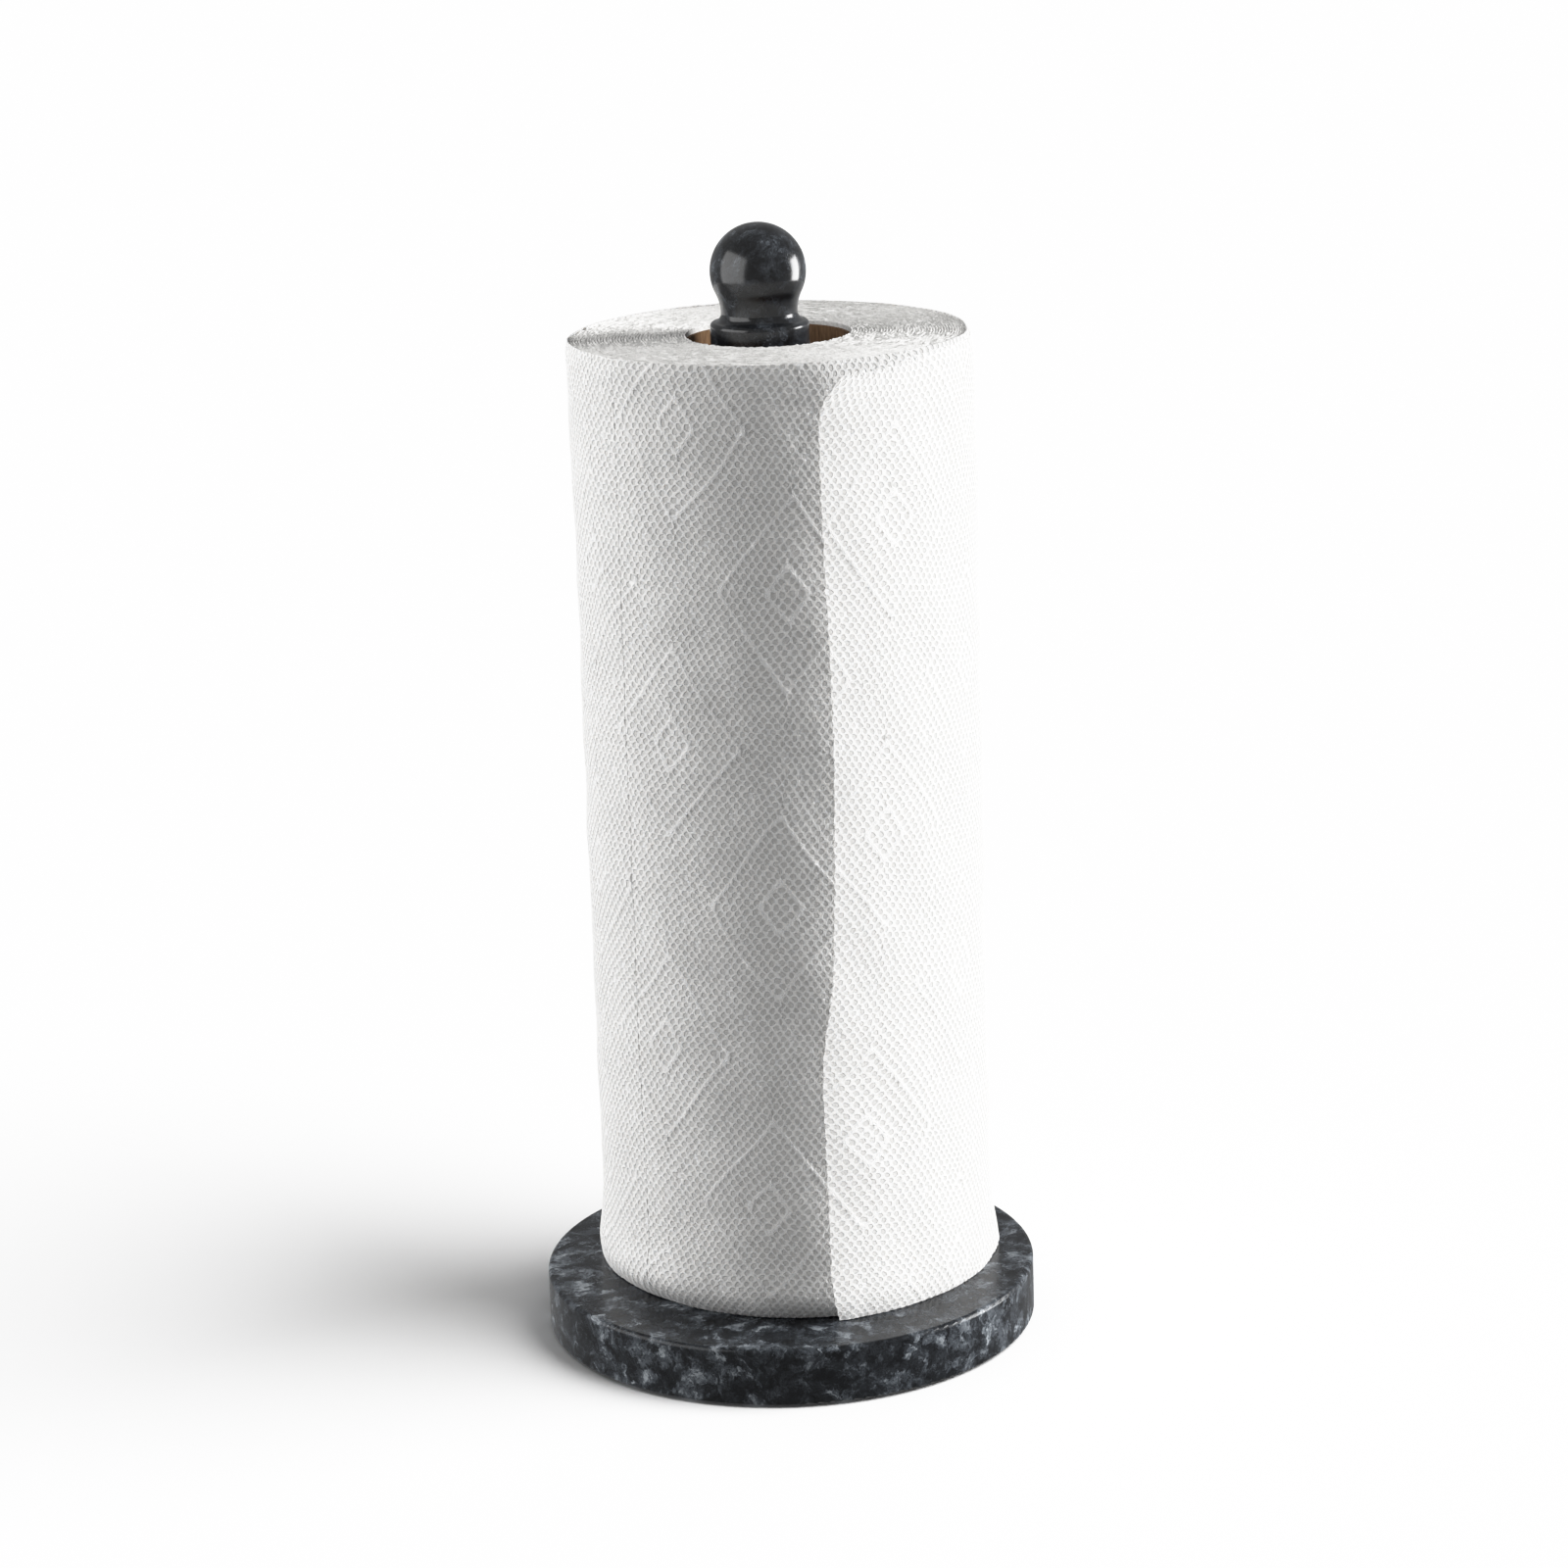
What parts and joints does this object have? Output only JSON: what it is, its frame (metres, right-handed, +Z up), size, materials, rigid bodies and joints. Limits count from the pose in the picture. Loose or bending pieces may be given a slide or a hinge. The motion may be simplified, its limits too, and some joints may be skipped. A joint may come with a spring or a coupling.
{
  "type": "paper towel holder",
  "caption": "Countertop paper towel holder: heavy round granite base, straight granite post with a ball finial, and a lift-off roll of embossed paper with a loose outer sheet.",
  "frame": {"origin": "centre of the base's underside, on the surface it stands on", "axes": "+Z up along the post; -Y is the front, where the loose sheet's free edge hangs; +X is to the right seen from the front"},
  "size_m": [0.146, 0.146, 0.3292],
  "materials": {
    "polished_granite": "polished",
    "foam_pad": "matte",
    "zinc_plated_steel": "satin",
    "spring_steel": "satin",
    "turned_brass": "satin",
    "gasket_rubber": "matte",
    "core_board": "matte",
    "embossed_towel_paper": "matte"
  },
  "bodies": {
    "holder": {"base_slab": "polished_granite", "base_pad": "foam_pad", "post_column": "polished_granite", "finial": "polished_granite", "tie_rod": "zinc_plated_steel", "finial_insert": "turned_brass", "finial_gasket": "gasket_rubber", "base_gasket": "gasket_rubber", "load_washer": "zinc_plated_steel", "spring_washer": "spring_steel", "hex_nut": "zinc_plated_steel"},
    "core": {"core_tube": "core_board"},
    "wound_paper": {"paper_roll": "embossed_towel_paper"},
    "outer_sheet": {"loose_sheet": "embossed_towel_paper"}
  },
  "joints": [
    {"name": "roll_lift", "type": "slide", "parent": "holder", "child": "core", "axis": [0, 0, 1], "range_m": [0, 0.34]},
    {"name": "roll_spin", "type": "hinge", "parent": "core", "child": "wound_paper", "pos_m": [0.00241, 0.00202, 0.158], "axis": [0, 0, 1], "continuous": true},
    {"name": "sheet_peel", "type": "hinge", "parent": "wound_paper", "child": "outer_sheet", "pos_m": [0.02002, 0.05723, 0.158], "axis": [0, 0, 1], "range_deg": [0, 74]}
  ]
}
